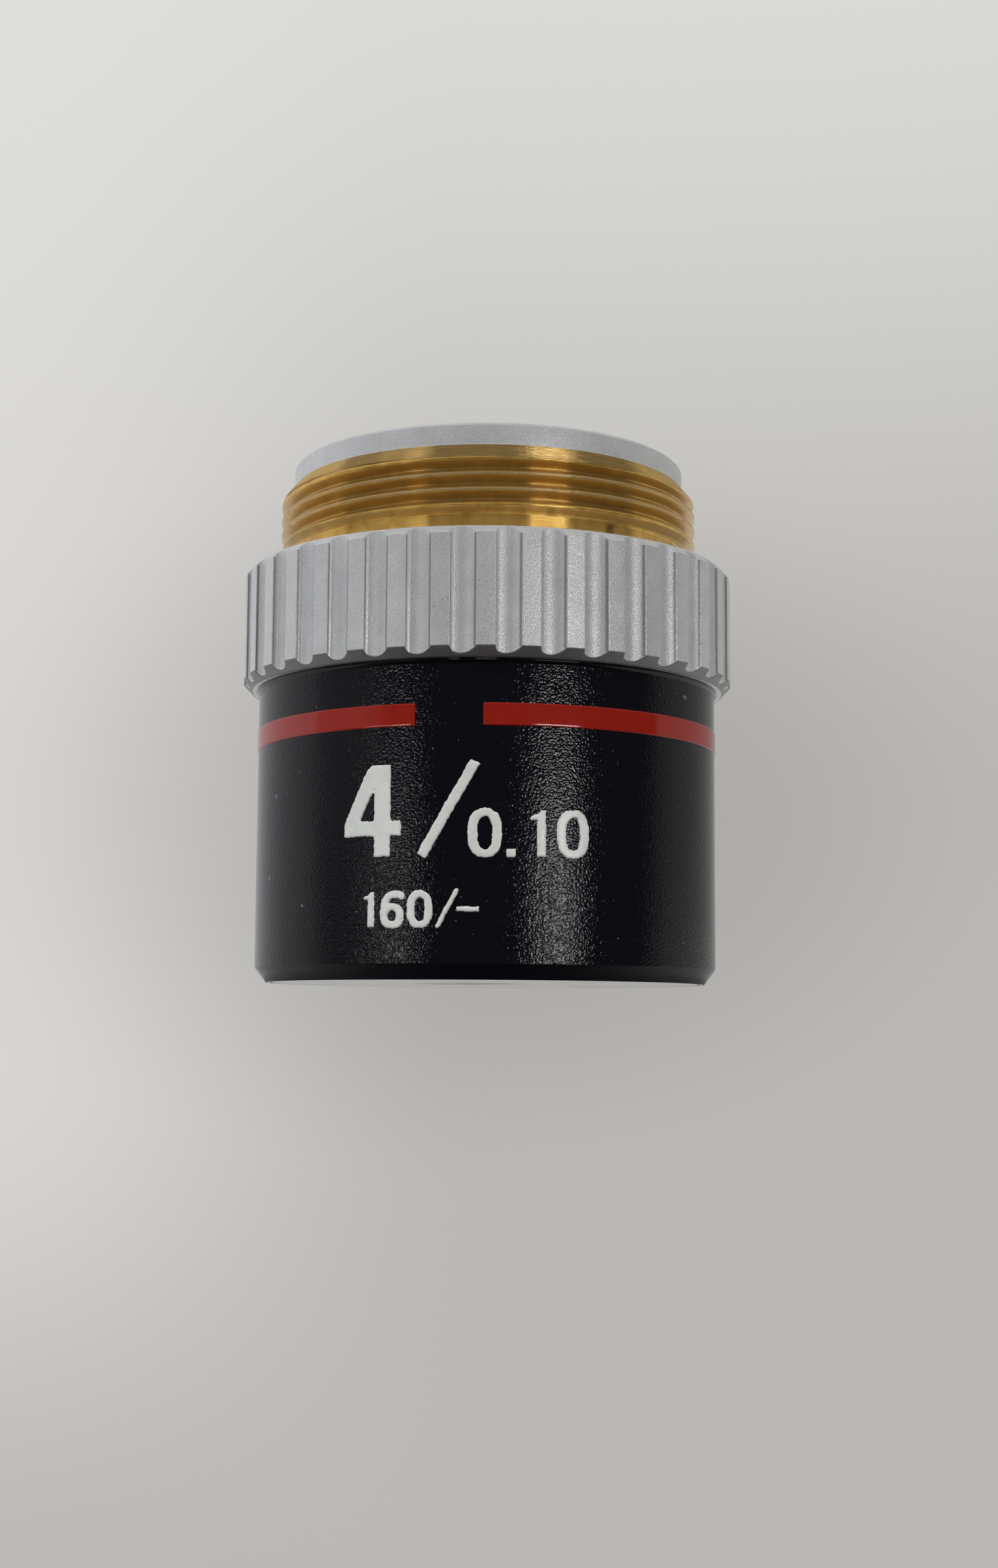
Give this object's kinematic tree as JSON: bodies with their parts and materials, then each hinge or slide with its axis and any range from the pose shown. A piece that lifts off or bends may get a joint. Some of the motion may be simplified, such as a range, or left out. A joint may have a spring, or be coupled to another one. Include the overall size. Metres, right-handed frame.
{
  "type": "microscope objective",
  "caption": "Low-power microscope objective: threaded brass mount with a fluted grip ring, black outer barrel with a colour band, and two cemented lens pairs stacked in an inner lens barrel.",
  "frame": {"origin": "centre of the nose face, on which the objective stands", "axes": "+Z along the optical axis from the nose to the mounting thread, -Y towards the side that the picture shows"},
  "size_m": [0.0236, 0.0236, 0.0249],
  "materials": {
    "plated_brass": "satin nickel plating, cut through to brass at the thread",
    "bare_brass": "turned",
    "black_paint": "semi-gloss textured paint",
    "red_enamel": "gloss enamel",
    "blackened_brass": "matt black",
    "crown_glass": "polished, coated",
    "flint_glass": "polished, coated"
  },
  "bodies": {
    "root": {"mount_body": "plated_brass", "outer_barrel": "black_paint", "colour_band": "red_enamel", "lens_barrel": "plated_brass", "thick_focus_shim": "bare_brass", "thin_focus_shim": "bare_brass", "front_cell": "blackened_brass", "front_flint_lens": "flint_glass", "front_crown_lens": "crown_glass", "front_lens_ring": "blackened_brass", "aperture_stop": "blackened_brass", "spacer_tube": "blackened_brass", "rear_cell": "blackened_brass", "rear_flint_lens": "flint_glass", "rear_crown_lens": "crown_glass", "rear_lens_ring": "blackened_brass", "stack_ring": "blackened_brass", "jam_ring": "blackened_brass", "glare_baffle": "blackened_brass"}
  },
  "joints": []
}
